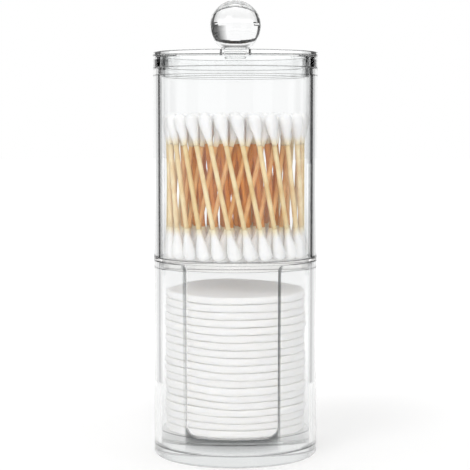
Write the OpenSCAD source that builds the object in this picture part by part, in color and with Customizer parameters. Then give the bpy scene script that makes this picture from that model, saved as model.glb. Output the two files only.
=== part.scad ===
// Two-tier round storage canister of clear acrylic, with its cotton pads and cotton swabs.
// The origin is the centre of the base's underside. +Z is up and -Y is the front, where the slot is.
// All lengths are in millimetres and all angles in degrees.

/* [Tubes] */
// Outer diameter of the tubes, the base and the lid
outer_d = 90; // [86:1:110]
// Wall thickness of the tubes
wall_t = 3.8; // [2:0.1:4.5]
// How far the thicker rim at each tube's mouth stands inwards
rim_step = 0.6; // [0.4:0.1:1.5]
// Height of the thicker rim at each tube's mouth
rim_h = 4; // [3:0.5:6]
// Height of the lower tube
lower_tube_h = 100.6; // [96:0.2:120]
// Height of the upper tube
upper_tube_h = 102.5; // [92:0.5:120]

/* [Base] */
// Thickness of the base disc below the lower tube
base_h = 6.5; // [4:0.5:10]
// Height of the step that goes up inside the lower tube and carries the pads
base_step_h = 8.3; // [4:0.1:10]
// Bevel round the bottom edge of the base
base_bevel = 1; // [0.4:0.1:2]

/* [Front slot] */
// Width of the open slot in the lower tube
slot_w = 48.5; // [36:0.5:56]
// Radius of the slot's bottom corners
slot_corner_r = 6; // [3:0.5:10]
// Radius of the rounding where the slot meets the tube's mouth
slot_mouth_r = 3; // [2:0.5:5]
// Height of the slot's bottom edge above the step that carries the pads
slot_sill_h = 0.5; // [0.2:0.1:3]
// Turn of the slot away from the front, towards the left
slot_turn = 2.6; // [0:0.1:6]

/* [Upper floor] */
// Thickness of the flange between the two tubes
flange_h = 1.9; // [1.5:0.1:4]
// Height of the step that plugs into the lower tube
plug_h = 3.9; // [3:0.1:8]

/* [Lid] */
// Thickness of the lid's plate
lid_plate_t = 3; // [2:0.5:5]
// Height of the skirt under the plate
lid_skirt_h = 5.5; // [4:0.5:10]
// How far the inner ring reaches below the skirt, into the tube's mouth
lid_plug_h = 5.2; // [4:0.1:8]
// Thickness of the inner ring
lid_ring_t = 1.8; // [1.2:0.1:3]
// Width of the groove between the skirt and the inner ring
lid_groove_w = 0.9; // [0.5:0.1:1.5]
// Rounding of the lid's upper edge
lid_edge_r = 0.6; // [0.3:0.1:1.5]

/* [Knob] */
// Diameter of the ball
ball_d = 28.2; // [22:0.2:36]
// Diameter of the foot where it stands on the lid
foot_d = 18.4; // [16.5:0.1:20]
// Diameter of the foot where it meets the ball
neck_d = 15.4; // [12:0.1:16]
// Height of the foot
foot_h = 2.4; // [1.5:0.1:5]
// Diameter of the spigot that goes down through the lid's plate
spigot_d = 12; // [6:0.5:14]
// How far the spigot stands out below the lid's plate
spigot_out = 0.6; // [0.2:0.1:2]

/* [Cotton pads] */
// Thickness of a cotton pad in the stack
pad_t = 3.9; // [3:0.1:4]
// Rounding of a pad's rim
pad_rim_r = 1.5; // [0.5:0.1:1.5]

/* [Cotton swabs] */
// Length of a swab over both tips
swab_l = 79; // [70:1:82]
// Diameter of the wooden stick
stick_d = 2.5; // [2:0.1:3]
// Diameter of a cotton tip
tip_d = 6.8; // [5:0.1:7]
// Length of a cotton tip
tip_l = 17; // [12:0.5:20]
// How deep the stick goes into each tip
stick_seat = 12; // [8:0.5:14]
// Swabs in the outermost circle
ring_1_count = 28; // [20:1:28]
// Swabs in the second circle
ring_2_count = 22; // [14:1:24]
// Swabs in the third circle
ring_3_count = 16; // [10:1:18]
// Swabs in the fourth circle
ring_4_count = 10; // [5:1:11]
// Swabs in the fifth circle
ring_5_count = 5; // [3:1:6]

/* [Clearances] */
// Radial clearance of a plug or a ring in a tube's mouth
plug_gap = 0.3; // [0.2:0.05:0.5]
// Seam between pieces that stand on each other
seam_gap = 0.05; // [0.02:0.01:0.1]
// Radial clearance between the cotton pads and the mouth that they are put in through
pad_gap = 1.7; // [0.5:0.1:6]
// Radial clearance of the knob's spigot in the lid
spigot_gap = 0.1; // [0.05:0.01:0.2]
// Clearance between the swabs
swab_gap = 0.3; // [0.2:0.05:0.4]
// Clearance between the outermost swabs and the tube
swab_wall_gap = 0.7; // [0.3:0.1:2]

/* [Hidden] */
$fn = 96;

// A cut runs this far past the faces that it goes through.
cut = 1;

// Radii of the tubes and of what plugs into them
outer_r = outer_d / 2;
tube_r = outer_r - wall_t;
mouth_r = tube_r - rim_step;
plug_r = mouth_r - plug_gap;
step_r = tube_r - plug_gap;

// Heights, from the ground up
base_step_z = base_h + base_step_h;
lower_tube_z = base_h + seam_gap;
lower_rim_z = lower_tube_z + lower_tube_h;
flange_z = lower_rim_z + seam_gap;
upper_floor_z = flange_z + flange_h;
upper_tube_z = upper_floor_z + seam_gap;
upper_rim_z = upper_tube_z + upper_tube_h;
skirt_z = upper_rim_z + seam_gap;
plate_z = skirt_z + lid_skirt_h;
lid_top_z = plate_z + lid_plate_t;
foot_z = lid_top_z + seam_gap;

// The slot's bottom edge, above the step that carries the pads
slot_z = base_step_z + slot_sill_h;

// The ball is centred where its surface meets the top of its foot.
ball_r = ball_d / 2;
ball_z = foot_z + foot_h + sqrt(ball_r * ball_r - neck_d * neck_d / 4);
spigot_r = spigot_d / 2;

// The pads fit through the mouth. They lie on the base's step, each on the one below.
pad_r = mouth_r - pad_gap;
pad_pitch = pad_t + seam_gap;
function pad_z(number) = base_step_z + seam_gap + (number - 1) * pad_pitch;

// Points along an arc, from one angle to another
arc_steps = 12;
function arc(x, y, r, from, to) = [
    for (k = [0 : arc_steps])
        let (angle = from + (to - from) * k / arc_steps)
            [x + r * cos(angle), y + r * sin(angle)]
];

// Swabs stand in circles, from the wall inwards. Each circle leans the other way than the one outside it.
swab_pitch = tip_d + swab_gap;
ring_counts = [ring_1_count, ring_2_count, ring_3_count, ring_4_count, ring_5_count, 1];
ring_twists = [-18, 36, -24, 50, -60, 0];
tip_r = tip_d / 2;
stick_r = stick_d / 2;

function ring_r(ring) =
    ring == len(ring_counts) - 1 ? 0 : tube_r - tip_r - swab_wall_gap - ring * swab_pitch;

// The outermost circle leans this much more in front and this much less behind.
sway = 8;

// Compass direction of a swab's foot
function start_angle(ring, i) = (i + ring * 0.5) * 360 / ring_counts[ring];
// Turn from a swab's foot to its upper end, about the jar's axis
function twist(ring, i) =
    ring_twists[ring] + (ring == 0 ? sway * sin(start_angle(ring, i)) : 0);
// Horizontal distance between a swab's two ends
function reach(ring, i) = 2 * ring_r(ring) * sin(abs(twist(ring, i)) / 2);
function lean(ring, i) = asin(reach(ring, i) / swab_l);
// Compass direction in which a swab leans
function heading(ring, i) =
    start_angle(ring, i) + twist(ring, i) / 2 + (twist(ring, i) < 0 ? -90 : 90);
// A leaning swab stands on the round of its tip.
function foot_lift(ring, i) = seam_gap + tip_r * (1 - cos(lean(ring, i)));
// Side of the jar on which a swab stands: 0 right, 1 back, 2 left, 3 front
function side(angle) = floor(((angle + 405) % 360) / 90);

// A cotton tip is round at its end and tapers onto the stick in a soft curve.
taper_steps = 4;
collar_t = 0.15;
collar_r = stick_r + collar_t;
function taper_point(t) = [
    collar_r + (tip_r - collar_r) * (1 + cos(180 * t)) / 2,
    tip_r + (tip_l - tip_r) * t
];

module swab_tip() {
    taper = [for (k = [0 : taper_steps]) taper_point(k / taper_steps)];
    rotate_extrude($fn = 24) difference() {
        union() {
            intersection() {
                translate([0, tip_r]) circle(r = tip_r);
                square([tip_r, tip_r]);
            }
            polygon(concat([[0, tip_r]], taper, [[0, tip_l]]));
        }
        translate([0, tip_l - stick_seat]) square([stick_r, stick_seat + cut]);
    }
}

module swab_stick() {
    seat_z = tip_l - stick_seat;
    translate([0, 0, seat_z]) cylinder(h = swab_l - 2 * seat_z, r = stick_r, $fn = 24);
}

// Places its children as one swab, from its foot upwards.
module stand_swab(ring, i) {
    angle = start_angle(ring, i);
    foot_x = ring_r(ring) * cos(angle);
    foot_y = ring_r(ring) * sin(angle);
    translate([foot_x, foot_y, upper_floor_z + foot_lift(ring, i)])
        rotate([0, lean(ring, i), heading(ring, i)]) children();
}

// Places its children at every swab that stands on one side of the jar.
module swabs_on(wanted) {
    for (ring = [0 : len(ring_counts) - 1])
        for (i = [0 : ring_counts[ring] - 1])
            if (side(start_angle(ring, i)) == wanted) stand_swab(ring, i) children();
}

module swab_sticks(wanted) {
    color("burlywood") swabs_on(wanted) swab_stick();
}

module swab_tips(wanted) {
    color("white") swabs_on(wanted) {
        swab_tip();
        translate([0, 0, swab_l]) mirror([0, 0, 1]) swab_tip();
    }
}

module cotton_pad(number) {
    flat_r = pad_r - pad_rim_r;
    rim_z = pad_t - pad_rim_r;
    color("ivory") translate([0, 0, pad_z(number)]) rotate_extrude() {
        square([flat_r, pad_t]);
        translate([0, pad_rim_r]) square([pad_r, pad_t - 2 * pad_rim_r]);
        for (z = [pad_rim_r, rim_z]) translate([flat_r, z]) circle(r = pad_rim_r, $fn = 24);
    }
}

module base_plate() {
    color("aliceblue") {
        cylinder(h = base_bevel, r1 = outer_r - base_bevel, r2 = outer_r);
        translate([0, 0, base_bevel]) cylinder(h = base_h - base_bevel, r = outer_r);
        cylinder(h = base_step_z, r = step_r);
    }
}

// A tube that stands on z, with a thicker rim at its mouth
module tube(z, h) {
    translate([0, 0, z]) difference() {
        cylinder(h = h, r = outer_r);
        translate([0, 0, -cut]) cylinder(h = h - rim_h + cut, r = tube_r);
        cylinder(h = h + cut, r = mouth_r);
    }
}

// The cutter for the front slot, which is open at the top and has a rounded foot and mouth
module slot_cutter() {
    half_w = slot_w / 2;
    corner_x = half_w - slot_corner_r;
    corner_z = slot_z + slot_corner_r;
    mouth_x = half_w + slot_mouth_r;
    mouth_z = lower_rim_z - slot_mouth_r;
    outline = concat(
        arc(-mouth_x, mouth_z, slot_mouth_r, 90, 0),
        arc(-corner_x, corner_z, slot_corner_r, 180, 270),
        arc(corner_x, corner_z, slot_corner_r, 270, 360),
        arc(mouth_x, mouth_z, slot_mouth_r, 180, 90),
        [[mouth_x, lower_rim_z + cut], [-mouth_x, lower_rim_z + cut]]
    );
    rotate([90, 0, -slot_turn]) linear_extrude(height = outer_r + cut) polygon(outline);
}

module lower_tube() {
    color("lightcyan") difference() {
        tube(lower_tube_z, lower_tube_h);
        slot_cutter();
    }
}

module upper_floor() {
    color("azure") {
        translate([0, 0, flange_z]) cylinder(h = flange_h, r = outer_r);
        translate([0, 0, flange_z - plug_h]) cylinder(h = plug_h + flange_h, r = plug_r);
    }
}

module upper_tube() {
    color("lightcyan") tube(upper_tube_z, upper_tube_h);
}

module lid() {
    ring_z = skirt_z - lid_plug_h;
    ring_h = lid_plug_h + lid_skirt_h;
    edge_z = lid_top_z - lid_edge_r;
    color("azure") difference() {
        union() {
            translate([0, 0, skirt_z]) cylinder(h = edge_z - skirt_z, r = outer_r);
            translate([0, 0, edge_z]) cylinder(h = lid_edge_r, r1 = outer_r, r2 = outer_r - lid_edge_r);
            translate([0, 0, ring_z]) cylinder(h = ring_h + cut, r = plug_r);
        }
        // The groove between the skirt and the inner ring
        difference() {
            translate([0, 0, ring_z - cut]) cylinder(h = ring_h + cut, r = plug_r + lid_groove_w);
            cylinder(h = lid_top_z, r = plug_r);
        }
        // The hollow inside the ring
        translate([0, 0, ring_z - cut]) cylinder(h = ring_h + cut, r = plug_r - lid_ring_t);
        // The hole for the knob's spigot
        cylinder(h = lid_top_z + cut, r = spigot_r + spigot_gap);
    }
}

module ball_knob() {
    spigot_z = plate_z - spigot_out;
    color("aliceblue") {
        translate([0, 0, ball_z]) sphere(r = ball_r);
        translate([0, 0, foot_z]) cylinder(h = foot_h + cut, r1 = foot_d / 2, r2 = neck_d / 2);
        translate([0, 0, spigot_z]) cylinder(h = foot_z + cut - spigot_z, r = spigot_r);
    }
}

base_plate();
lower_tube();
upper_floor();
upper_tube();
lid();
ball_knob();
cotton_pad(1);  // cotton_pad_01
cotton_pad(2);  // cotton_pad_02
cotton_pad(3);  // cotton_pad_03
cotton_pad(4);  // cotton_pad_04
cotton_pad(5);  // cotton_pad_05
cotton_pad(6);  // cotton_pad_06
cotton_pad(7);  // cotton_pad_07
cotton_pad(8);  // cotton_pad_08
cotton_pad(9);  // cotton_pad_09
cotton_pad(10);  // cotton_pad_10
cotton_pad(11);  // cotton_pad_11
cotton_pad(12);  // cotton_pad_12
cotton_pad(13);  // cotton_pad_13
cotton_pad(14);  // cotton_pad_14
cotton_pad(15);  // cotton_pad_15
cotton_pad(16);  // cotton_pad_16
cotton_pad(17);  // cotton_pad_17
cotton_pad(18);  // cotton_pad_18
cotton_pad(19);  // cotton_pad_19
swab_sticks(3);  // swab_sticks_front
swab_sticks(0);  // swab_sticks_right
swab_sticks(1);  // swab_sticks_back
swab_sticks(2);  // swab_sticks_left
swab_tips(3);  // swab_tips_front
swab_tips(0);  // swab_tips_right
swab_tips(1);  // swab_tips_back
swab_tips(2);  // swab_tips_left
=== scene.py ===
"""Two-tier clear acrylic canister with cotton swabs above and cotton pads below."""
import math
import random

import bpy
from mathutils import Matrix, Vector, noise

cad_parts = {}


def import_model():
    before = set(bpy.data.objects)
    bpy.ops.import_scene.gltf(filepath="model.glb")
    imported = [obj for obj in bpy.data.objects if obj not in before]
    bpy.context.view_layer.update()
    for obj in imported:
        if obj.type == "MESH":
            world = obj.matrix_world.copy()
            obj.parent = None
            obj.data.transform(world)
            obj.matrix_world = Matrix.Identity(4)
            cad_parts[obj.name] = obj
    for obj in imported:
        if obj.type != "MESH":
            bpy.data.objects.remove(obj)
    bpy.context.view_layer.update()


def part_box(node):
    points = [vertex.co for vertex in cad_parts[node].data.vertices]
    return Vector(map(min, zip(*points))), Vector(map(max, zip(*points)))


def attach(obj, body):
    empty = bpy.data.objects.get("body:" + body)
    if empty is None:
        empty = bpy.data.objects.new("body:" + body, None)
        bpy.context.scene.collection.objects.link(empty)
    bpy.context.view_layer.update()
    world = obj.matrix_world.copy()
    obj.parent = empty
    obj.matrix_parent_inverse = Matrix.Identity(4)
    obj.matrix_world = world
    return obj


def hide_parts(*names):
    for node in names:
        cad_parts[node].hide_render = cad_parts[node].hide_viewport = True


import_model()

# Places and sizes that the frame gives, in metres
_, BASE_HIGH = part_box("base_plate")
TUBE_LOW, TUBE_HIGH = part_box("lower_tube")
FLOOR_LOW, FLOOR_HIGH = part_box("upper_floor")
UPPER_LOW, UPPER_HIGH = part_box("upper_tube")
LID_LOW, LID_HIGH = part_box("lid")
KNOB_LOW, KNOB_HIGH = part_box("ball_knob")
PAD_LOW, PAD_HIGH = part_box("cotton_pad_01")
MM = 0.001

# Radii, heights and widths as the solids have them
OUTER_R = 45 * MM
TUBE_R = 41.2 * MM
MOUTH_R = 40.6 * MM
PLUG_R = 40.3 * MM
STEP_R = 40.9 * MM
RIM_H = 4 * MM
BASE_H = 6.5 * MM
BASE_BEVEL = 1 * MM
FLANGE_H = 1.9 * MM
SKIRT_H = 5.5 * MM
PLUG_H = 5.2 * MM
RING_T = 1.8 * MM
GROOVE_W = 0.9 * MM
SPIGOT_R = 6 * MM
SPIGOT_GAP = 0.1 * MM
BALL_R = 14.1 * MM
FOOT_R = 9.2 * MM
NECK_R = 7.7 * MM
FOOT_H = 2.4 * MM
SLOT_HALF_W = 24.25 * MM
SLOT_CORNER_R = 6 * MM
SLOT_MOUTH_R = 3 * MM
SLOT_SILL_H = 0.5 * MM
SLOT_TURN = math.radians(2.6)
SEAM = 0.05 * MM

# Roundings of polished edges: most have the first, and some one of the others
POLISH_R = 0.35 * MM
SEAM_R = 0.05 * MM
CRISP_R = 0.1 * MM
INNER_R = 0.15 * MM
SMALL_R = 0.2 * MM
LIP_R = 0.25 * MM
FOOT_EDGE_R = 0.3 * MM
BEVEL_R = 0.5 * MM
LID_EDGE_R = 0.6 * MM
BALL_STEP_R = 3 * MM

# How finely meshes are made, and what counts as on the axis or as a sharp edge
LATHE_STEPS = 240
KNOB_STEPS = 160
BALL_STEPS = 60
ON_AXIS = 1e-7
MAX_REACH = 0.45
SHARP_TURN = 0.5


# Meshes

def make_object(name, vertices, faces, normals=None):
    """A smooth mesh in the scene, with exact normals where they are given."""
    mesh = bpy.data.meshes.new(name)
    mesh.from_pydata(vertices, [], faces)
    mesh.validate()
    mesh.shade_smooth()
    if normals:
        mesh.normals_split_custom_set_from_vertices(normals)
    piece = bpy.data.objects.new(name, mesh)
    bpy.context.scene.collection.objects.link(piece)
    return piece


def write_values(piece, name, values):
    """Writes four numbers for each vertex, which a material reads by name."""
    layer = piece.data.color_attributes.new(name, "FLOAT_COLOR", "POINT")
    for spot, value in zip(layer.data, values):
        spot.color = value


def rounded(corners, radius, steps=4):
    """Points, outward normals and edge shares of a closed outline that runs anticlockwise, with its
    corners rounded. A corner is (r, z) or (r, z, its own radius). Corners on the axis stay sharp."""
    points = []
    count = len(corners)
    for i, corner in enumerate(corners):
        here = Vector(corner[:2])
        before = Vector(corners[i - 1][:2])
        after = Vector(corners[(i + 1) % count][:2])
        own = corner[2] if len(corner) > 2 else radius
        into, out = (here - before), (after - here)
        normal_in = Vector((into.y, -into.x)).normalized()
        normal_out = Vector((out.y, -out.x)).normalized()
        if here.x < ON_AXIS:
            points.append((here, normal_out if before.x < ON_AXIS else normal_in, 0))
            continue
        turn = into.angle_signed(out) * -1
        reach = min(own * abs(math.tan(turn / 2)), MAX_REACH * into.length, MAX_REACH * out.length)
        fillet = reach / abs(math.tan(turn / 2))
        side = 1 if turn > 0 else -1
        centre = here - into.normalized() * reach - normal_in * fillet * side
        for k in range(steps + 1):
            share = k / steps
            angle = math.atan2(normal_in.y, normal_in.x) + turn * share
            normal = Vector((math.cos(angle), math.sin(angle)))
            # Painted shade mask: highest midway round a sharp corner, where the acrylic darkens its
            # colour
            edge = math.sin(math.pi * share) if abs(turn) > SHARP_TURN else 0
            points.append((centre + normal * fillet * side, normal, edge))
    return points


def lathe(name, corners, radius=POLISH_R, steps=LATHE_STEPS):
    """A solid turned about the Z axis from a closed outline of (r, z) corners."""
    outline = rounded(corners, radius)
    vertices, normals, edges, rows = [], [], [], []
    for point, normal, edge in outline:
        if point.x < ON_AXIS:
            rows.append([len(vertices)] * steps)
            vertices.append((0, 0, point.y))
            normals.append((0, 0, math.copysign(1, normal.y)))
            edges.append((0, 0, 0, 1))
            continue
        rows.append(list(range(len(vertices), len(vertices) + steps)))
        for k in range(steps):
            angle = 2 * math.pi * k / steps
            vertices.append((point.x * math.cos(angle), point.x * math.sin(angle), point.y))
            normals.append((normal.x * math.cos(angle), normal.x * math.sin(angle), normal.y))
            edges.append((edge, 0, 0, 1))
    faces = []
    for j, row in enumerate(rows):
        above = rows[(j + 1) % len(rows)]
        for k in range(steps):
            n = (k + 1) % steps
            corners_here = [row[k], row[n], above[n], above[k]]
            face = list(dict.fromkeys(corners_here))
            if len(face) > 2:
                faces.append(face)
    piece = make_object(name, vertices, faces, normals)
    # The edge shares, by which the acrylic paints shade on rounded edges
    write_values(piece, "edge", edges)
    return piece


# Clear acrylic pieces

CUT_OVER = 2 * MM
CUT_DEPTH = 1.2 * OUTER_R
ROUND_FACING = 0.999
END_REACH = 0.1 * MM

def base_plate():
    """The thick disc with the step that goes up inside the lower tube."""
    top = BASE_HIGH.z
    return lathe("clear_base_plate", [
        (0, 0),
        (OUTER_R - BASE_BEVEL, 0, SMALL_R),
        (OUTER_R, BASE_BEVEL, BEVEL_R),
        (OUTER_R, BASE_H),
        (STEP_R, BASE_H, CRISP_R),
        (STEP_R, top),
        (0, top),
    ])


def tube(name, low, high):
    """A plain tube with a thicker rim inside its mouth."""
    return lathe(name, [
        (TUBE_R, low, INNER_R),
        (OUTER_R, low, LIP_R),
        (OUTER_R, high),
        (MOUTH_R, high),
        (MOUTH_R, high - RIM_H),
        (TUBE_R, high - RIM_H, INNER_R),
    ])


def arc_points(x, z, radius, start, end, steps=14):
    """Points along an arc, between two angles in degrees."""
    angles = [math.radians(start + (end - start) * k / steps) for k in range(steps + 1)]
    return [(x + radius * math.cos(a), z + radius * math.sin(a)) for a in angles]


def slot_cutter():
    """The open front slot as a prism that reaches from the axis to past the tube's face."""
    rim = TUBE_HIGH.z
    corner_x = SLOT_HALF_W - SLOT_CORNER_R
    corner_z = BASE_HIGH.z + SLOT_SILL_H + SLOT_CORNER_R
    mouth_x = SLOT_HALF_W + SLOT_MOUTH_R
    mouth_z = rim - SLOT_MOUTH_R
    above = rim + CUT_OVER
    outline = arc_points(-mouth_x, mouth_z, SLOT_MOUTH_R, 90, 0)
    outline += arc_points(-corner_x, corner_z, SLOT_CORNER_R, 180, 270)
    outline += arc_points(corner_x, corner_z, SLOT_CORNER_R, 270, 360)
    outline += arc_points(mouth_x, mouth_z, SLOT_MOUTH_R, 180, 90)
    outline += [(mouth_x, above), (-mouth_x, above)]
    count = len(outline)
    turn = Matrix.Rotation(-SLOT_TURN, 3, "Z")
    vertices = [turn @ Vector((x, 0, z)) for x, z in outline]
    vertices += [turn @ Vector((x, -CUT_DEPTH, z)) for x, z in outline]
    faces = [list(range(count - 1, -1, -1)), list(range(count, 2 * count))]
    for i in range(count):
        n = (i + 1) % count
        faces.append([i, n, count + n, count + i])
    return make_object("slot_cutter", vertices, faces)


def applied(piece):
    """Writes the piece's modifiers into its mesh."""
    graph = bpy.context.evaluated_depsgraph_get()
    mesh = bpy.data.meshes.new_from_object(piece.evaluated_get(graph))
    piece.modifiers.clear()
    piece.data = mesh
    return piece


def true_cylinder_normals(piece):
    """Gives the round faces of a cut tube their exact radial normals, and the slot's cut faces the
    second material. All other faces keep their own normals."""
    mesh = piece.data
    normals = [Vector((0, 0, 0))] * len(mesh.loops)
    for face in mesh.polygons:
        radial = Vector((face.center.x, face.center.y, 0)).normalized()
        facing = face.normal.dot(radial)
        round_face = abs(facing) > ROUND_FACING
        end_face = face.center.z < TUBE_LOW.z + END_REACH
        behind = face.center.y > -0.5 * TUBE_R
        face.material_index = 0 if round_face or behind or end_face else 1
        for corner in face.loop_indices:
            if round_face:
                spot = mesh.vertices[mesh.loops[corner].vertex_index].co
                normals[corner] = Vector((spot.x, spot.y, 0)).normalized() * math.copysign(1, facing)
            else:
                normals[corner] = face.normal.copy()
    mesh.normals_split_custom_set(normals)


def lower_tube():
    """The tube with the open front slot cut out of it."""
    piece = tube("clear_lower_tube", TUBE_LOW.z, TUBE_HIGH.z)
    cutter = slot_cutter()
    cut = piece.modifiers.new("slot", "BOOLEAN")
    cut.operation = "DIFFERENCE"
    cut.solver = "EXACT"
    cut.object = cutter
    applied(piece)
    bpy.data.objects.remove(cutter)
    true_cylinder_normals(piece)
    return piece


def upper_floor():
    """The disc between the tubes, with the step that plugs into the lower one."""
    low, top = FLOOR_LOW.z, FLOOR_HIGH.z
    return lathe("clear_upper_floor", [
        (0, low),
        (PLUG_R, low),
        (PLUG_R, top - FLANGE_H, CRISP_R),
        (OUTER_R, top - FLANGE_H, LIP_R),
        (OUTER_R, top, LIP_R),
        (0, top),
    ])


def lid():
    """The plate with its skirt, and the ring that goes into the upper tube's mouth."""
    low, top = LID_LOW.z, LID_HIGH.z
    skirt = low + PLUG_H
    plate = skirt + SKIRT_H
    hole_r = SPIGOT_R + SPIGOT_GAP
    return lathe("clear_lid", [
        (hole_r, plate, CRISP_R),
        (PLUG_R - RING_T, plate, SMALL_R),
        (PLUG_R - RING_T, low),
        (PLUG_R, low),
        (PLUG_R, plate, CRISP_R),
        (PLUG_R + GROOVE_W, plate, CRISP_R),
        (PLUG_R + GROOVE_W, skirt, LIP_R),
        (OUTER_R, skirt, LIP_R),
        (OUTER_R, top, LID_EDGE_R),
        (hole_r, top, CRISP_R),
    ])


def ball_knob():
    """The ball on its foot, with the spigot that goes down into the lid."""
    foot = LID_HIGH.z + SEAM
    low = KNOB_LOW.z
    ball_z = KNOB_HIGH.z - BALL_R
    start = math.atan2(foot + FOOT_H - ball_z, NECK_R)
    angles = [start + (math.pi / 2 - start) * k / BALL_STEPS for k in range(1, BALL_STEPS)]
    ball = [(BALL_R * math.cos(a), ball_z + BALL_R * math.sin(a), BALL_STEP_R) for a in angles]
    return lathe("clear_ball_knob", [
        (0, low),
        (SPIGOT_R, low, SMALL_R),
        (SPIGOT_R, foot, SEAM_R),
        (FOOT_R, foot, FOOT_EDGE_R),
        (NECK_R, foot + FOOT_H, BEVEL_R),
        *ball,
        (0, ball_z + BALL_R),
    ], steps=KNOB_STEPS)


# Cotton swabs, which stand in circles as the solids do

SWAB_L = 79 * MM
STICK_R = 1.25 * MM
TIP_R = 3.4 * MM
TIP_L = 17 * MM
SWAB_GAP = 0.3 * MM
SWAB_WALL_GAP = 0.7 * MM
RING_COUNTS = [28, 22, 16, 10, 5, 1]
RING_TWISTS = [-18, 36, -24, 50, -60, 0]
SWAY = 8
COLLAR_GAP = 0.12 * MM
TIP_START = 0.02 * MM
TIP_ROWS = 1.6
LUMP_SCALE, LUMP_H = 420, 0.10 * MM
FIBRE_SCALE, FIBRE_H = 1500, 0.05 * MM
TIP_INSET = 0.08 * MM
STICK_INTO_TIP = 2 * MM
UPPER_SEED = 50
# Painted shade on sticks: none in the outer circle, full from this many circles in
PAINTED_SHADE_RING = 1.6
SIDES = ["right", "back", "left", "front"]


def swab_places():
    """For each swab, its side of the jar and the matrix that stands it there."""
    for ring, count in enumerate(RING_COUNTS):
        radius = TUBE_R - TIP_R - SWAB_WALL_GAP - ring * (2 * TIP_R + SWAB_GAP)
        radius = 0 if ring == len(RING_COUNTS) - 1 else radius
        for i in range(count):
            start = (i + ring * 0.5) * 360 / count
            sway = SWAY * math.sin(math.radians(start)) if ring == 0 else 0
            twist = RING_TWISTS[ring] + sway
            reach = 2 * radius * math.sin(math.radians(abs(twist) / 2))
            lean = math.asin(reach / SWAB_L)
            heading = math.radians(start + twist / 2 + (-90 if twist < 0 else 90))
            lift = SEAM + TIP_R * (1 - math.cos(lean))
            foot = Vector((
                radius * math.cos(math.radians(start)),
                radius * math.sin(math.radians(start)),
                FLOOR_HIGH.z + lift,
            ))
            side = SIDES[int(((start + 405) % 360) // 90)]
            stand = Matrix.Rotation(heading, 4, "Z") @ Matrix.Rotation(lean, 4, "Y")
            yield side, ring, Matrix.Translation(foot) @ stand


def tip_radius(s):
    """Radius of a cotton tip at a distance s from its end."""
    if s < TIP_R:
        return math.sqrt(max(0, TIP_R ** 2 - (TIP_R - s) ** 2))
    share = (s - TIP_R) / (TIP_L - TIP_R)
    collar = STICK_R + COLLAR_GAP
    return collar + (TIP_R - collar) * (1 + math.cos(math.pi * share)) / 2


def add_tip(vertices, faces, shares, place, upper, seed):
    """One wound cotton tip, with the small lumps and loose fibres of real cotton."""
    around, along = 28, 26
    first = len(vertices)
    shift = Vector((seed * 3.7, seed * 1.3, seed * 2.9))
    for j in range(along + 1):
        t = j / along
        s = TIP_L * (t ** TIP_ROWS) if j else TIP_START
        radius = tip_radius(s)
        for k in range(around):
            a = 2 * math.pi * k / around
            spot = Vector((radius * math.cos(a), radius * math.sin(a), s))
            wave = noise.noise(spot * LUMP_SCALE + shift) * LUMP_H
            wave += noise.noise(spot * FIBRE_SCALE + shift) * FIBRE_H
            wave *= min(1, radius / (0.6 * TIP_R))
            away = Vector((math.cos(a), math.sin(a), 0))
            spot += away * (wave - TIP_INSET)
            if upper:
                spot.z = SWAB_L - spot.z
            vertices.append(place @ spot)
            shares.append((s / TIP_L, 0, 0, 1))
    for j in range(along):
        for k in range(around):
            n = (k + 1) % around
            a, b = first + j * around, first + (j + 1) * around
            quad = [a + k, a + n, b + n, b + k]
            faces.append(quad if upper else quad[::-1])
    cap = list(range(first, first + around))
    base = list(range(first + along * around, first + (along + 1) * around))
    faces.append(cap[::-1] if upper else cap)
    faces.append(base if upper else base[::-1])


def add_stick(vertices, faces, values, place, tone, bundle_shade):
    """One turned stick between its tips, with a tone of its own and its share of painted shade deep in
    the bundle.
    """
    around, along = 14, 6
    first = len(vertices)
    low, high = TIP_L - STICK_INTO_TIP, SWAB_L - TIP_L + STICK_INTO_TIP
    for j in range(along + 1):
        z = low + (high - low) * j / along
        for k in range(around):
            a = 2 * math.pi * k / around
            vertices.append(place @ Vector((STICK_R * math.cos(a), STICK_R * math.sin(a), z)))
            values.append((tone, bundle_shade, z / SWAB_L, 1))
    for j in range(along):
        for k in range(around):
            n = (k + 1) % around
            a, b = first + j * around, first + (j + 1) * around
            faces.append([a + k, b + k, b + n, a + n][::-1])
    faces.append(list(range(first, first + around))[::-1])
    faces.append(list(range(first + along * around, first + (along + 1) * around)))


def swabs(side, places):
    """The tips and the sticks of one side of the jar. Sticks of inner circles get painted shade: a deeper
    orange for the shade and warm bounce light deep in the bundle.
    """
    chance = random.Random(side)
    bundle_shades = [min(1, ring / PAINTED_SHADE_RING) for ring, _ in places]
    tips, tip_faces, shares, sticks, stick_faces, values = [], [], [], [], [], []
    for number, (_, place) in enumerate(places):
        roll = Matrix.Rotation(chance.uniform(0, 2 * math.pi), 4, "Z")
        add_tip(tips, tip_faces, shares, place @ roll, False, number + 1)
        add_tip(tips, tip_faces, shares, place @ roll, True, number + 1 + UPPER_SEED)
        add_stick(sticks, stick_faces, values, place @ roll, chance.random(), bundle_shades[number])
    tip_piece = make_object("cotton_tips_" + side, tips, tip_faces)
    write_values(tip_piece, "tip", shares)
    stick_piece = make_object("bamboo_sticks_" + side, sticks, stick_faces)
    write_values(stick_piece, "stick", values)
    return tip_piece, stick_piece


# Cotton pads

PAD_COUNT = 19
PAD_R = PAD_HIGH.x
PAD_T = PAD_HIGH.z - PAD_LOW.z
PAD_SPAN = PAD_COUNT * (PAD_T + SEAM)
PAD_STEPS, FACE_ROWS, RIM_ROWS = 150, 8, 10
# In millimetres: span of rim radii, span of how much smaller a pad is, and how far it swells
RIM_SPAN = (0.55, 0.95)
SHRINK_SPAN = (-0.3, 0.7)
RIPPLE, FRAY, INSET = 0.65, 0.14, 0.1
SAG, TILT = 1.5, 2.6
SAG_RISE = 4
THIN, THIN_WAVE = 0.05, 0.12
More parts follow.
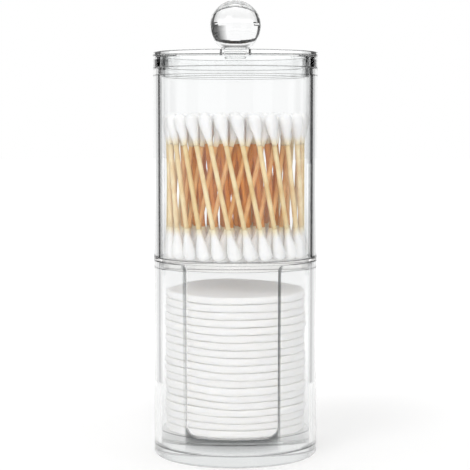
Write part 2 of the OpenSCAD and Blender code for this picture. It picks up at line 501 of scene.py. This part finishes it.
# How fast each kind of unevenness changes, and how a face's rows and its rim are spaced
SAG_ACROSS, SAG_UP = 26, 12
RIPPLE_WAVES, FRAY_WAVES, FRAY_LAYERS, THIN_WAVES, THIN_PLACE = 5, 22, 700, 3, 9
FACE_POWER, EDGE_POWER = 0.8, 6


def pad_sag(spot):
    """How far the stack as a whole bulges up or down at a place in it."""
    low_wave = noise.noise(Vector((spot.x * SAG_ACROSS, spot.y * SAG_ACROSS, spot.z * SAG_UP)))
    rim = (Vector((spot.x, spot.y)).length / PAD_R) ** 2
    height = (spot.z - BASE_HIGH.z) / PAD_SPAN
    tilt = TILT * (0.5 + 0.5 * spot.y / PAD_R) * height ** 2
    return (SAG * low_wave * rim * min(1, SAG_RISE * height) + tilt) * MM


def cotton_pad(number, node):
    """A pressed pad: two soft faces and a thick uneven rim."""
    chance = random.Random(number)
    low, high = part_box(node)
    middle = (low.z + high.z) / 2
    half_t = (high.z - low.z) / 2
    rim_r = chance.uniform(*RIM_SPAN) * MM
    shrink = chance.uniform(*SHRINK_SPAN) * MM
    seed = Vector((number * 7.1, number * 3.3, 0))
    profile = []
    flat = PAD_R - rim_r - shrink
    for k in range(FACE_ROWS + 1):
        profile.append((flat * (k / FACE_ROWS) ** FACE_POWER, -half_t))
    for k in range(1, RIM_ROWS):
        a = -math.pi / 2 + math.pi * k / RIM_ROWS
        profile.append((flat + rim_r * math.cos(a), half_t * math.sin(a)))
    for k in range(FACE_ROWS, -1, -1):
        profile.append((flat * (k / FACE_ROWS) ** FACE_POWER, half_t))
    vertices, faces, rows = [], [], []
    for r, z in profile:
        if r < ON_AXIS:
            rows.append([len(vertices)] * PAD_STEPS)
            vertices.append(Vector((0, 0, middle + z)))
            continue
        rows.append(list(range(len(vertices), len(vertices) + PAD_STEPS)))
        for k in range(PAD_STEPS):
            a = 2 * math.pi * k / PAD_STEPS
            edge = (r / PAD_R) ** EDGE_POWER
            away = Vector((math.cos(a), math.sin(a), 0))
            ripple = noise.noise(away * RIPPLE_WAVES + seed)
            fray = noise.noise(away * FRAY_WAVES + Vector((0, 0, z * FRAY_LAYERS)) + seed)
            radius = r + edge * (RIPPLE * ripple + FRAY * fray - INSET) * MM
            spot = Vector((radius * math.cos(a), radius * math.sin(a), middle + z))
            press = noise.noise(away * THIN_WAVES + Vector((0, 0, THIN_PLACE)) + seed)
            thin = 1 - edge * (THIN + THIN_WAVE * press)
            spot.z = middle + z * thin
            vertices.append(spot)
    for spot in vertices:
        spot.z += pad_sag(spot)
    for j in range(len(rows) - 1):
        for k in range(PAD_STEPS):
            n = (k + 1) % PAD_STEPS
            face = list(dict.fromkeys([rows[j][k], rows[j][n], rows[j + 1][n], rows[j + 1][k]]))
            if len(face) > 2:
                faces.append(face)
    return make_object("soft_pad_%02d" % number, vertices, faces)


# Materials

ACRYLIC_IOR = 1.49
RUB_SCALE, RUB_NOISE, RUB_SPAN = 90, (0.5, 0.8), (0.0, 0.012)
COTTON_DEPTH = 3 * MM
FIBRE_NOISE = (0.3, 0.6)
TIP_FIBRES, PAD_FIBRES = 2600, 1800
TIP_RELIEF, PAD_RELIEF, WOOD_RELIEF = 0.12 * MM, 0.15 * MM, 0.05 * MM
TIP_LIGHT, TIP_DARK = (0.95, 0.95, 0.945), (0.90, 0.90, 0.895)
TIP_OVER_STICK = (0.90, 0.76, 0.47)
THIN_END = (0.66, 1.05)
PAD_LIGHT, PAD_DARK = (0.97, 0.96, 0.935), (0.93, 0.92, 0.895)
WOOD_DARK, WOOD_LIGHT = (0.80, 0.58, 0.28), (0.93, 0.79, 0.50)
STICK_TONE = (0.95, 0.88, 0.74)
# Painted shade and warm bounce light for sticks deep in the bundle
PAINTED_BUNDLE_SHADE = (0.97, 0.50, 0.16)
GRAIN_STRETCH = (14, 9, 40)
# Painted shade on the acrylic's rounded edges: dark, grey and pale tints that stand in for the dark lines
# light gives at polished edges
DARK_PAINTED_EDGE, GREY_PAINTED_EDGE, PALE_PAINTED_EDGE = (0.16, 0.17, 0.17), (0.5, 0.5, 0.5), (0.9, 0.9, 0.9)
CLEAR, THICK = (0.985, 0.99, 0.99), (0.97, 0.975, 0.975)
# Painted shade: the base plate's grey tint and the upper floor's warm grey tint darken what is seen
# through these thick discs; the floor's warm cast stands in for light the swabs scatter
GREY_PAINTED_SHADE, WARM_PAINTED_SHADE = (0.81, 0.82, 0.82), (0.82, 0.812, 0.80)
CUT_STRAIGHT = 0.45


def new_material(name):
    """A new material with its nodes, its links and its main shader."""
    material = bpy.data.materials.new(name)
    material.use_nodes = True
    nodes = material.node_tree.nodes
    return material, nodes, material.node_tree.links, nodes["Principled BSDF"]


def stored(nodes, links, name):
    """The red, green and blue parts of the values written into the mesh under a name."""
    layer = nodes.new("ShaderNodeAttribute")
    layer.attribute_name = name
    parts = nodes.new("ShaderNodeSeparateColor")
    links.new(layer.outputs["Color"], parts.inputs["Color"])
    return parts.outputs


def noise_over(nodes, links, vector, **settings):
    """Noise over a vector, with settings named as the node's own sockets are."""
    texture = nodes.new("ShaderNodeTexNoise")
    for name, value in settings.items():
        texture.inputs[name].default_value = value
    links.new(vector, texture.inputs["Vector"])
    return texture.outputs["Fac"]


def mapped(nodes, links, value, start, end, smooth=False):
    """A value mapped from one span onto another."""
    spread = nodes.new("ShaderNodeMapRange")
    spread.interpolation_type = "SMOOTHSTEP" if smooth else "LINEAR"
    spread.inputs["From Min"].default_value = start[0]
    spread.inputs["From Max"].default_value = start[1]
    spread.inputs["To Min"].default_value = end[0]
    spread.inputs["To Max"].default_value = end[1]
    links.new(value, spread.inputs["Value"])
    return spread.outputs["Result"]


def mixed(nodes, links, factor, first, second, blend="MIX"):
    """Two colours mixed by a factor. A colour is an output of a node or three numbers."""
    mix = nodes.new("ShaderNodeMix")
    mix.data_type = "RGBA"
    mix.blend_type = blend
    links.new(factor, mix.inputs["Factor"])
    for name, colour in (("A", first), ("B", second)):
        if isinstance(colour, tuple):
            mix.inputs[name].default_value = (*colour, 1)
        else:
            links.new(colour, mix.inputs[name])
    return mix.outputs["Result"]


def worked_out(nodes, links, operation, *values):
    """The result of one sum. A value is an output of a node or a number."""
    step = nodes.new("ShaderNodeMath")
    step.operation = operation
    for place, value in enumerate(values):
        if isinstance(value, float):
            step.inputs[place].default_value = value
        else:
            links.new(value, step.inputs[place])
    return step.outputs["Value"]


def raise_bumps(nodes, links, shader, height, strength, distance):
    """Fine relief on a surface."""
    bump = nodes.new("ShaderNodeBump")
    bump.inputs["Strength"].default_value = strength
    bump.inputs["Distance"].default_value = distance
    links.new(height, bump.inputs["Height"])
    links.new(bump.outputs["Normal"], shader.inputs["Normal"])


def mixed_shaders(nodes, links, first, second):
    """Two shaders mixed by a factor that the caller sets."""
    mix = nodes.new("ShaderNodeMixShader")
    links.new(first, mix.inputs[1])
    links.new(second, mix.inputs[2])
    return mix


def acrylic(name, tint, painted_edge_shade, straight=0.0):
    """Clear polished acrylic with faint rub marks, and painted shade on its rounded edges, whose colour
    goes to the edge tint there. Rays from lamps and between matt surfaces pass straight through it, and
    so does the given share of all other light."""
    material, nodes, links, shader = new_material(name)
    shader.inputs["Transmission Weight"].default_value = 1
    shader.inputs["IOR"].default_value = ACRYLIC_IOR
    # Painted shade: on rounded edges the colour goes from the tint to the edge tint
    edge = stored(nodes, links, "edge")["Red"]
    links.new(mixed(nodes, links, edge, tint, painted_edge_shade), shader.inputs["Base Color"])
    place = nodes.new("ShaderNodeTexCoord")
    marks = noise_over(nodes, links, place.outputs["Object"], Scale=RUB_SCALE, Detail=4)
    links.new(mapped(nodes, links, marks, RUB_NOISE, RUB_SPAN), shader.inputs["Roughness"])
    through = nodes.new("ShaderNodeBsdfTransparent")
    bend = mixed_shaders(nodes, links, shader.outputs["BSDF"], through.outputs["BSDF"])
    bend.inputs["Fac"].default_value = straight
    path = nodes.new("ShaderNodeLightPath").outputs
    either = worked_out(nodes, links, "MAXIMUM", path["Is Shadow Ray"], path["Is Diffuse Ray"])
    mix = mixed_shaders(nodes, links, bend.outputs["Shader"], through.outputs["BSDF"])
    links.new(either, mix.inputs["Fac"])
    links.new(mix.outputs["Shader"], nodes["Material Output"].inputs["Surface"])
    return material


def cotton(name, light, dark, fibre_scale, bump_height, soft):
    """Soft cotton: matt, with fine fibres that catch the light, which goes some way into it."""
    material, nodes, links, shader = new_material(name)
    shader.inputs["Roughness"].default_value = 0.95
    shader.inputs["Sheen Weight"].default_value = 0.25
    shader.inputs["Sheen Roughness"].default_value = 0.6
    shader.inputs["Specular IOR Level"].default_value = 0.1
    shader.inputs["Subsurface Weight"].default_value = soft
    shader.inputs["Subsurface Radius"].default_value = (1, 0.97, 0.9)
    shader.inputs["Subsurface Scale"].default_value = COTTON_DEPTH
    place = nodes.new("ShaderNodeTexCoord")
    fibres = noise_over(nodes, links, place.outputs["Object"],
                        Scale=fibre_scale, Detail=6, Roughness=0.65, Distortion=1.2)
    spread = mapped(nodes, links, fibres, FIBRE_NOISE, (0, 1))
    links.new(mixed(nodes, links, spread, dark, light), shader.inputs["Base Color"])
    raise_bumps(nodes, links, shader, fibres, 0.6, bump_height)
    return material


def tip_cotton():
    """White cotton that lets the stick show through at each tip's thin end."""
    material = cotton("tip_cotton", TIP_LIGHT, TIP_DARK, TIP_FIBRES, TIP_RELIEF, 0.5)
    nodes, links = material.node_tree.nodes, material.node_tree.links
    shader = nodes["Principled BSDF"]
    fibres = shader.inputs["Base Color"].links[0].from_socket
    share = stored(nodes, links, "tip")["Red"]
    thin = mapped(nodes, links, share, THIN_END, (0, 1), smooth=True)
    links.new(mixed(nodes, links, thin, fibres, TIP_OVER_STICK), shader.inputs["Base Color"])
    return material


def pad_cotton():
    """White cotton a little warmer than that of the tips."""
    return cotton("pad_cotton", PAD_LIGHT, PAD_DARK, PAD_FIBRES, PAD_RELIEF, 0.7)


def grain_colour(nodes, links, grain):
    """The two tones of the wood's grain."""
    ramp = nodes.new("ShaderNodeValToRGB")
    dark, light = ramp.color_ramp.elements
    dark.position, dark.color = 0.3, (*WOOD_DARK, 1)
    light.position, light.color = 0.62, (*WOOD_LIGHT, 1)
    links.new(grain, ramp.inputs["Fac"])
    return ramp.outputs["Color"]


def bamboo():
    """Pale bamboo with grain along each stick and a tone of its own for each, with painted shade: a deep
    orange on sticks deep in the bundle.
    """
    material, nodes, links, shader = new_material("bamboo")
    shader.inputs["Roughness"].default_value = 0.55
    shader.inputs["Specular IOR Level"].default_value = 0.3
    stick = stored(nodes, links, "stick")
    where = nodes.new("ShaderNodeCombineXYZ")
    links.new(stick["Green"], where.inputs["X"])
    links.new(stick["Blue"], where.inputs["Y"])
    links.new(stick["Red"], where.inputs["Z"])
    stretch = nodes.new("ShaderNodeVectorMath")
    stretch.operation = "MULTIPLY"
    stretch.inputs[1].default_value = GRAIN_STRETCH
    links.new(where.outputs["Vector"], stretch.inputs[0])
    grain = noise_over(nodes, links, stretch.outputs["Vector"], Scale=1.0, Detail=5)
    plain = grain_colour(nodes, links, grain)
    toned = mixed(nodes, links, stick["Red"], plain, STICK_TONE, "MULTIPLY")
    # Painted shade: sticks deep in the bundle are multiplied towards a deep orange
    shaded_deep = mixed(nodes, links, stick["Green"], toned, PAINTED_BUNDLE_SHADE, "MULTIPLY")
    links.new(shaded_deep, shader.inputs["Base Color"])
    raise_bumps(nodes, links, shader, grain, 0.3, WOOD_RELIEF)
    return material


def finish_piece(piece, material, body, slot, *nodes):
    """Gives a piece its look, puts it under its body and hides the solids it stands in for."""
    piece.data.materials.append(material)
    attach(piece, body)
    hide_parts(*nodes)


# Stage: floor, side cards, lamps, world and camera

SENSOR_W = 36
PHOTO_PX = 470
FOCAL_PX = 1507.3
CAMERA_SPOT = (-0.0002, -0.828, 0.184)
CAMERA_TILT = 4.4
FLOOR_SIZE = 6.0
FLOOR_DROP = 0.2 * MM
# Distances from the object, and the glow or the share of it that they stand for
GLOW_REACH, GLOW_SPAN = (0.06, 0.5), (0.2, 0.7)
DIM_REACH, DIM_SPAN = (0.7, 3.0), (-0.5, 0.0)
FILL_LEVEL = 0.49
LAMPS = [
    # Name, place, aim, size, power
    ("key", (-0.6, -0.9, 0.9), (0, 0, 0.12), 0.6, 3.5),
    ("front", (0.15, -1.3, 0.4), (0, 0, 0.12), 0.5, 4.5),
    ("top", (0, 0.1, 1.2), (0, 0, 0.1), 0.6, 3.2),
]

# The cards stand at these distances and cover these heights
NEAR, FAR, ROOF, WIDE, FRONT = 0.25, 0.7, 0.85, 1.0, 1.2
CARD_STEPS = 24
TUBE_BAND = [(-0.02, 0.42), (0.081, 0.42), (0.086, 1.0), (0.2188, 1.0)]
SKIRT_BAND = [(0.2192, 1.0), (0.2255, 1.0)]
LINE_BAND = [(0.232, 1.0), (0.262, 1.0)]
LOW_BAND = [(0.03, 0.3), (0.06, 1.0), (0.2, 1.0), (0.232, 0.6)]
EDGE_BAND = [(0.14, 1.0), (0.232, 1.0)]
BALL_BAND = [(0.262, 1.0), (0.575, 1.0)]
HIGH_BAND = [(0.575, 1.0), (0.70, 1.0)]
SHINE_BAND = [(0.25, 1.0), (1.2, 1.0)]
ROOF_BAND = [(0.9, 0.6), (1.1, 1.0), (1.6, 1.0)]
FRONT_BAND = [(-0.1, 0.85), (0.3, 0.85), (0.7, 0.85)]
# Cards that clear surfaces show: the dark lines in the tubes, the lid and the ball
DARK_CARDS = [
    ("tube_card_left", NEAR, TUBE_BAND, [(-58, 0.0), (-45, 0.0), (-43.5, 0.75), (-36, 0.85), (-31, 1.0)]),
    ("tube_card_right", NEAR, TUBE_BAND, [(31, 0.95), (36, 0.75), (42, 0.6), (43.5, 0.0), (58, 0.0)]),
    ("skirt_card_left", NEAR, SKIRT_BAND, [(-44, 0.0), (-33, 0.0), (-30, 0.2), (-29, 0.9)]),
    ("skirt_card_right", NEAR, SKIRT_BAND, [(29, 0.8), (30, 0.2), (32, 0.0), (44, 0.0)]),
    ("line_card_left", FAR, LINE_BAND, [(-62, 0.0), (-33, 0.0)]),
    ("line_card_right", FAR, LINE_BAND, [(29, 0.0), (62, 0.0)]),
    ("low_card_left", FAR, LOW_BAND, [(-68, 0.0), (-57, 0.0)]),
    ("low_card_right", FAR, LOW_BAND, [(57, 0.0), (68, 0.0)]),
    ("ball_card_left", FAR, BALL_BAND, [(-70, 0.0), (-50, 0.0), (-46, 0.8)]),
    ("line_card_far_left", FAR, LINE_BAND, [(-70, 0.0), (-62, 0.0)]),
    ("edge_card_right", FAR, EDGE_BAND, [(36, 0.7), (43, 0.0), (57, 0.0)]),
    ("ball_card_right", FAR, BALL_BAND, [(14, 0.85), (22, 0.45), (30, 0.12), (36, 0.0), (61, 0.0)]),
    ("ball_card_high", FAR, HIGH_BAND, [(-62, 0.0), (61, 0.0)]),
    ("ceiling_card", ROOF, ROOF_BAND, [(-45, 0.9), (-30, 0.1), (30, 0.1), (45, 0.9)]),
]
# Cards that only shiny surfaces show
SHINE_CARDS = [
    ("ball_shine_left", WIDE, SHINE_BAND, [(-95, 0.05), (-50, 0.05)]),
    ("ball_shine_right", WIDE, SHINE_BAND, [(50, 0.05), (95, 0.05)]),
    ("front_card", FRONT, FRONT_BAND, [(156, 0.3), (192, 0.3)]),
    ("front_card_left", FRONT, FRONT_BAND, [(-129, 0.3), (-110, 0.3)]),
    ("front_card_right", FRONT, FRONT_BAND, [(104, 0.3), (129, 0.3)]),
]


def floor_glow(nodes, links):
    """How strongly the floor glows where it is seen: less near the object, and less through acrylic."""
    path = nodes.new("ShaderNodeLightPath").outputs
    seen = worked_out(nodes, links, "MAXIMUM", path["Is Camera Ray"], path["Is Transmission Ray"])
    also = worked_out(nodes, links, "MAXIMUM", seen, path["Is Glossy Ray"])
    distance = nodes.new("ShaderNodeVectorMath")
    distance.operation = "LENGTH"
    links.new(nodes.new("ShaderNodeTexCoord").outputs["Object"], distance.inputs[0])
    away = distance.outputs["Value"]
    far = mapped(nodes, links, away, GLOW_REACH, GLOW_SPAN, smooth=True)
    fade = mapped(nodes, links, away, DIM_REACH, DIM_SPAN, smooth=True)
    through = worked_out(nodes, links, "MULTIPLY_ADD", path["Is Transmission Ray"], fade, 1.0)
    dimmed = worked_out(nodes, links, "MULTIPLY", also, through)
    return worked_out(nodes, links, "MULTIPLY", dimmed, far)


def floor():
    """A white floor that keeps the object's shadow and is as white as the background elsewhere."""
    size, drop = FLOOR_SIZE, -FLOOR_DROP
    corners = [(-size, -size, drop), (size, -size, drop), (size, size, drop), (-size, size, drop)]
    piece = make_object("floor", corners, [[0, 1, 2, 3]])
    material, nodes, links, shader = new_material("floor")
    shader.inputs["Base Color"].default_value = (0.9, 0.9, 0.9, 1)
    shader.inputs["Roughness"].default_value = 1
    shader.inputs["Specular IOR Level"].default_value = 0
    glow = nodes.new("ShaderNodeEmission")
    links.new(floor_glow(nodes, links), glow.inputs["Strength"])
    both = nodes.new("ShaderNodeAddShader")
    links.new(shader.outputs["BSDF"], both.inputs[0])
    links.new(glow.outputs["Emission"], both.inputs[1])
    links.new(both.outputs["Shader"], nodes["Material Output"].inputs["Surface"])
    piece.data.materials.append(material)


def card_material():
    """Each card glows as brightly as the levels written into it say."""
    material, nodes, links, _ = new_material("card")
    level = nodes.new("ShaderNodeAttribute")
    level.attribute_name = "level"
    glow = nodes.new("ShaderNodeEmission")
    links.new(level.outputs["Color"], glow.inputs["Color"])
    links.new(glow.outputs["Emission"], nodes["Material Output"].inputs["Surface"])
    return material


def card(name, rows, material, through):
    """A sheet that only clear and shiny surfaces show. Each row is a list of (place, level)."""
    vertices = [place for row in rows for place, level in row]
    across = len(rows[0])
    faces = []
    for j in range(len(rows) - 1):
        for k in range(across - 1):
            first = j * across + k
            faces.append([first, first + 1, first + across + 1, first + across])
    piece = make_object(name, vertices, faces)
    write_values(piece, "level", [(level, level, level, 1) for row in rows for place, level in row])
    piece.data.materials.append(material)
    piece.visible_camera = False
    piece.visible_diffuse = False
    piece.visible_shadow = False
    piece.visible_transmission = through


def between(stops, value):
    """Level at a value, from (value, level) stops in rising order."""
    for (low, start), (high, end) in zip(stops, stops[1:]):
        if value <= high:
            return start + (end - start) * max(0, value - low) / (high - low)
    return stops[-1][1]


def side_card(name, material, radius, heights, stops, through=True):
    """A standing card bent round the object. Stops are (angle from straight behind, level), and
    heights are (z, share), where a share of 1 gives the stops' levels in full and 0 gives white."""
    start, end = stops[0][0], stops[-1][0]
    rows = []
    for z, share in heights:
        row = []
        for k in range(CARD_STEPS + 1):
            angle = start + (end - start) * k / CARD_STEPS
            a = math.radians(angle)
            level = 1 - (1 - between(stops, angle)) * share
            row.append(((radius * math.sin(a), radius * math.cos(a), z), level))
        rows.append(row)
    card(name, rows, material, through)


def lamp(name, spot, aim, size, power):
    """A soft round lamp, which clear surfaces don't show."""
    data = bpy.data.lights.new(name, "AREA")
    data.shape = "DISK"
    data.size = size
    data.energy = power
    piece = bpy.data.objects.new(name, data)
    piece.location = spot
    piece.rotation_mode = "QUATERNION"
    piece.rotation_quaternion = (Vector(aim) - Vector(spot)).to_track_quat("-Z", "Y")
    piece.visible_camera = False
    piece.visible_transmission = False
    bpy.context.scene.collection.objects.link(piece)


def world():
    """White where the camera looks or a clear or shiny surface shows it, and a plain fill elsewhere."""
    sky = bpy.data.worlds.new("studio")
    sky.use_nodes = True
    nodes, links = sky.node_tree.nodes, sky.node_tree.links
    path = nodes.new("ShaderNodeLightPath")
    level = nodes.new("ShaderNodeMix")
    level.data_type = "FLOAT"
    level.inputs["A"].default_value = 1.0
    level.inputs["B"].default_value = FILL_LEVEL
    links.new(path.outputs["Is Diffuse Ray"], level.inputs["Factor"])
    back = nodes["Background"]
    back.inputs["Color"].default_value = (1, 1, 1, 1)
    links.new(level.outputs["Result"], back.inputs["Strength"])
    bpy.context.scene.world = sky


def camera():
    """A long lens a little above the object's middle, as in the photograph."""
    data = bpy.data.cameras.new("camera")
    data.sensor_width = SENSOR_W
    data.lens = FOCAL_PX / PHOTO_PX * data.sensor_width
    piece = bpy.data.objects.new("camera", data)
    piece.location = CAMERA_SPOT
    piece.rotation_euler = (math.radians(90 - CAMERA_TILT), 0, 0)
    bpy.context.scene.collection.objects.link(piece)
    bpy.context.scene.camera = piece


def stage():
    """Camera, background, floor, cards and lamps."""
    camera()
    world()
    floor()
    material = card_material()
    for name, radius, heights, stops in DARK_CARDS:
        side_card(name, material, radius, heights, stops)
    for name, radius, heights, stops in SHINE_CARDS:
        side_card(name, material, radius, heights, stops, through=False)
    for name, spot, aim, size, power in LAMPS:
        lamp(name, spot, aim, size, power)


def lower_jar():
    """The base and the slotted tube. Returns the tubes' material for the upper jar."""
    # Painted shade: the edge tints of the tube, the slot's cut faces and the base
    clear_tube = acrylic("clear_tube", CLEAR, DARK_PAINTED_EDGE)
    clear_cut = acrylic("clear_cut", THICK, PALE_PAINTED_EDGE, straight=CUT_STRAIGHT)
    # Painted shade: the base plate's grey tint
    clear_base = acrylic("clear_base", GREY_PAINTED_SHADE, DARK_PAINTED_EDGE)
    finish_piece(base_plate(), clear_base, "lower_jar", "clear_base", "base_plate")
    slotted = lower_tube()
    finish_piece(slotted, clear_tube, "lower_jar", "clear_tube", "lower_tube")
    slotted.data.materials.append(clear_cut)
    return clear_tube


def upper_jar(clear_tube):
    """The floor and the tube of the upper jar."""
    # Painted shade: the upper floor's warm grey tint and its edge tint
    clear_floor = acrylic("clear_floor", WARM_PAINTED_SHADE, DARK_PAINTED_EDGE)
    finish_piece(upper_floor(), clear_floor, "upper_jar", "clear_base", "upper_floor")
    upper = tube("clear_upper_tube", UPPER_LOW.z, UPPER_HIGH.z)
    finish_piece(upper, clear_tube, "upper_jar", "clear_tube", "upper_tube")


def lid_and_knob():
    """The lid and the ball knob bonded into it."""
    # Painted shade: the edge tints of the lid and the knob
    clear_lid = acrylic("clear_lid", CLEAR, DARK_PAINTED_EDGE)
    clear_knob = acrylic("clear_knob", THICK, GREY_PAINTED_EDGE)
    finish_piece(lid(), clear_lid, "lid", "clear_lid", "lid")
    finish_piece(ball_knob(), clear_knob, "lid", "clear_knob", "ball_knob")


def all_swabs():
    """The swabs, in one piece of tips and one of sticks for each side of the jar."""
    tip_white, wood = tip_cotton(), bamboo()
    places = list(swab_places())
    for side in SIDES:
        tips, sticks = swabs(side, [(ring, place) for where, ring, place in places if where == side])
        finish_piece(tips, tip_white, "upper_jar", "cotton_tip", "swab_tips_" + side)
        finish_piece(sticks, wood, "upper_jar", "bamboo", "swab_sticks_" + side)


def all_pads():
    """The stack of pads, each a soft piece of its own."""
    pad_white = pad_cotton()
    for number in range(1, PAD_COUNT + 1):
        node = "cotton_pad_%02d" % number
        pad = cotton_pad(number, node)
        finish_piece(pad, pad_white, "lower_jar", "cotton_pad", node)


stage()
upper_jar(lower_jar())
lid_and_knob()
all_swabs()
all_pads()

scene = bpy.context.scene
scene.view_settings.view_transform = "Standard"
scene.cycles.max_bounces = 24
scene.cycles.transmission_bounces = 24
scene.cycles.glossy_bounces = 12
scene.cycles.transparent_max_bounces = 24
